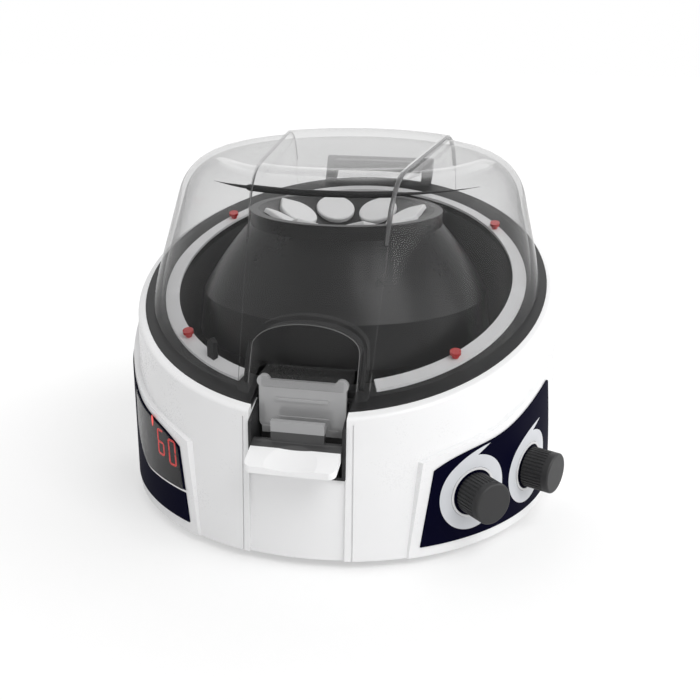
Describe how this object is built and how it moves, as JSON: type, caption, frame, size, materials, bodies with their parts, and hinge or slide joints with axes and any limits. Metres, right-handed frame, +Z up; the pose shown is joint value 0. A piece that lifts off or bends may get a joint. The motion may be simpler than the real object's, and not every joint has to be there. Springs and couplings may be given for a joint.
{
  "type": "microcentrifuge",
  "caption": "Round bench centrifuge with a sloping rim, clear hinged lid, fixed-angle rotor, front latch and two control knobs.",
  "frame": {"origin": "on the floor under the rotor's axis", "axes": "+Z up along the rotor's axis, -Y towards the latch at the front, +X to the right"},
  "size_m": [0.265, 0.2706, 0.1958],
  "materials": {
    "white_housing": "smooth, slightly glossy",
    "white_cap": "smooth",
    "black_plastic": "fine texture",
    "rotor_dark": "satin",
    "shield_grey": "satin",
    "seal_grey": "matte",
    "foot_rubber": "matte",
    "red_peg": "smooth",
    "clear_lid": "clear moulded plastic, polished",
    "smoke_tongue": "grey translucent plastic",
    "navy_overlay": "printed film",
    "display_glass": "dark tinted window",
    "steel": "brushed",
    "motor_metal": "cast",
    "board_green": "circuit board"
  },
  "bodies": {
    "base": {"housing_shell": "white_housing", "base_pan": "black_plastic", "rim_ring": "black_plastic", "bowl": "black_plastic", "bowl_seal": "seal_grey", "interlock_tab": "black_plastic", "latch_pocket": "black_plastic", "lever_pin": "steel", "lever_spring": "steel", "hinge_pin": "steel", "hinge_bracket_left": "black_plastic", "hinge_bracket_right": "black_plastic", "control_overlay": "navy_overlay", "display_overlay": "navy_overlay", "display_window": "display_glass", "speed_pot": "motor_metal", "time_pot": "motor_metal", "control_board": "board_green", "display_board": "board_green", "motor_body": "motor_metal", "mains_inlet": "black_plastic", "rocker_frame": "black_plastic", "foot_1": "foot_rubber", "foot_2": "foot_rubber", "foot_3": "foot_rubber", "foot_4": "foot_rubber", "lid_buffer_1": "red_peg", "lid_buffer_2": "red_peg", "lid_buffer_3": "red_peg", "lid_buffer_4": "red_peg"},
    "lid": {"lid_dome": "clear_lid", "latch_tongue": "smoke_tongue", "lid_hinge_plate": "black_plastic"},
    "latch_lever": {"release_lever": "white_housing"},
    "rotor": {"rotor_body": "rotor_dark", "rotor_nut": "steel", "motor_shaft": "steel", "tube_shield_1": "shield_grey", "tube_shield_2": "shield_grey", "tube_shield_3": "shield_grey", "tube_shield_4": "shield_grey", "tube_shield_5": "shield_grey", "tube_shield_6": "shield_grey", "tube_shield_7": "shield_grey", "tube_shield_8": "shield_grey", "tube_cap_1": "white_cap", "tube_cap_2": "white_cap", "tube_cap_3": "white_cap", "tube_cap_4": "white_cap", "tube_cap_5": "white_cap", "tube_cap_6": "white_cap", "tube_cap_7": "white_cap", "tube_cap_8": "white_cap"},
    "speed_control": {"speed_knob": "black_plastic", "speed_shaft": "steel"},
    "time_control": {"time_knob": "black_plastic", "time_shaft": "steel"},
    "rocker": {"power_rocker": "black_plastic"}
  },
  "joints": [
    {"name": "lid_hinge", "type": "hinge", "parent": "base", "child": "lid", "pos_m": [0, 0.122, 0.17849], "axis": [-1, 0, 0], "range_deg": [0, 85]},
    {"name": "rotor_spin", "type": "hinge", "parent": "base", "child": "rotor", "pos_m": [0, 0, 0.1], "axis": [0, 0, 1], "continuous": true},
    {"name": "speed_turn", "type": "hinge", "parent": "base", "child": "speed_control", "pos_m": [0.08949, -0.0943, 0.037], "axis": [-0.6884, 0.7254, 0], "range_deg": [0, 270]},
    {"name": "time_turn", "type": "hinge", "parent": "base", "child": "time_control", "pos_m": [0.11782, -0.05494, 0.037], "axis": [-0.9063, 0.4226, 0], "range_deg": [0, 270]},
    {"name": "latch_press", "type": "hinge", "parent": "base", "child": "latch_lever", "pos_m": [0, -0.1205, 0.06601], "axis": [1, 0, 0], "range_deg": [0, 10], "stiffness_Nm_per_rad": 0.05, "springref_deg": -11.46},
    {"name": "power_tip", "type": "hinge", "parent": "base", "child": "rocker", "pos_m": [-0.018, 0.1256, 0.031], "axis": [1, 0, 0], "range_deg": [-7, 7]}
  ]
}
